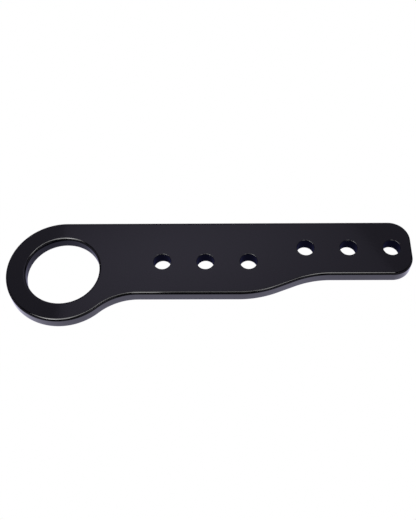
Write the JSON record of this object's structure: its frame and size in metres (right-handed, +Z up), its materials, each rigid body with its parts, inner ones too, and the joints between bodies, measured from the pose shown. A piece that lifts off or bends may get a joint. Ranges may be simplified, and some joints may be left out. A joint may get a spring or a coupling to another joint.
{
  "type": "eye plate",
  "caption": "Flat gloss coated steel bar with a large plain eye, a straight back edge, a front edge that steps in, and staggered rows of round bolt holes for an adjustable mounting.",
  "frame": {"origin": "on the axis of the eye's bore, in the plane of the underside", "axes": "+X along the bar, away from the eye; +Y towards the straight back edge; +Z up, along the bore and out of the top face"},
  "size_m": [0.282, 0.0784, 0.0095],
  "materials": {
    "gloss_black_coat": "gloss"
  },
  "bodies": {
    "root": {"eye_plate": "gloss_black_coat"}
  },
  "joints": []
}
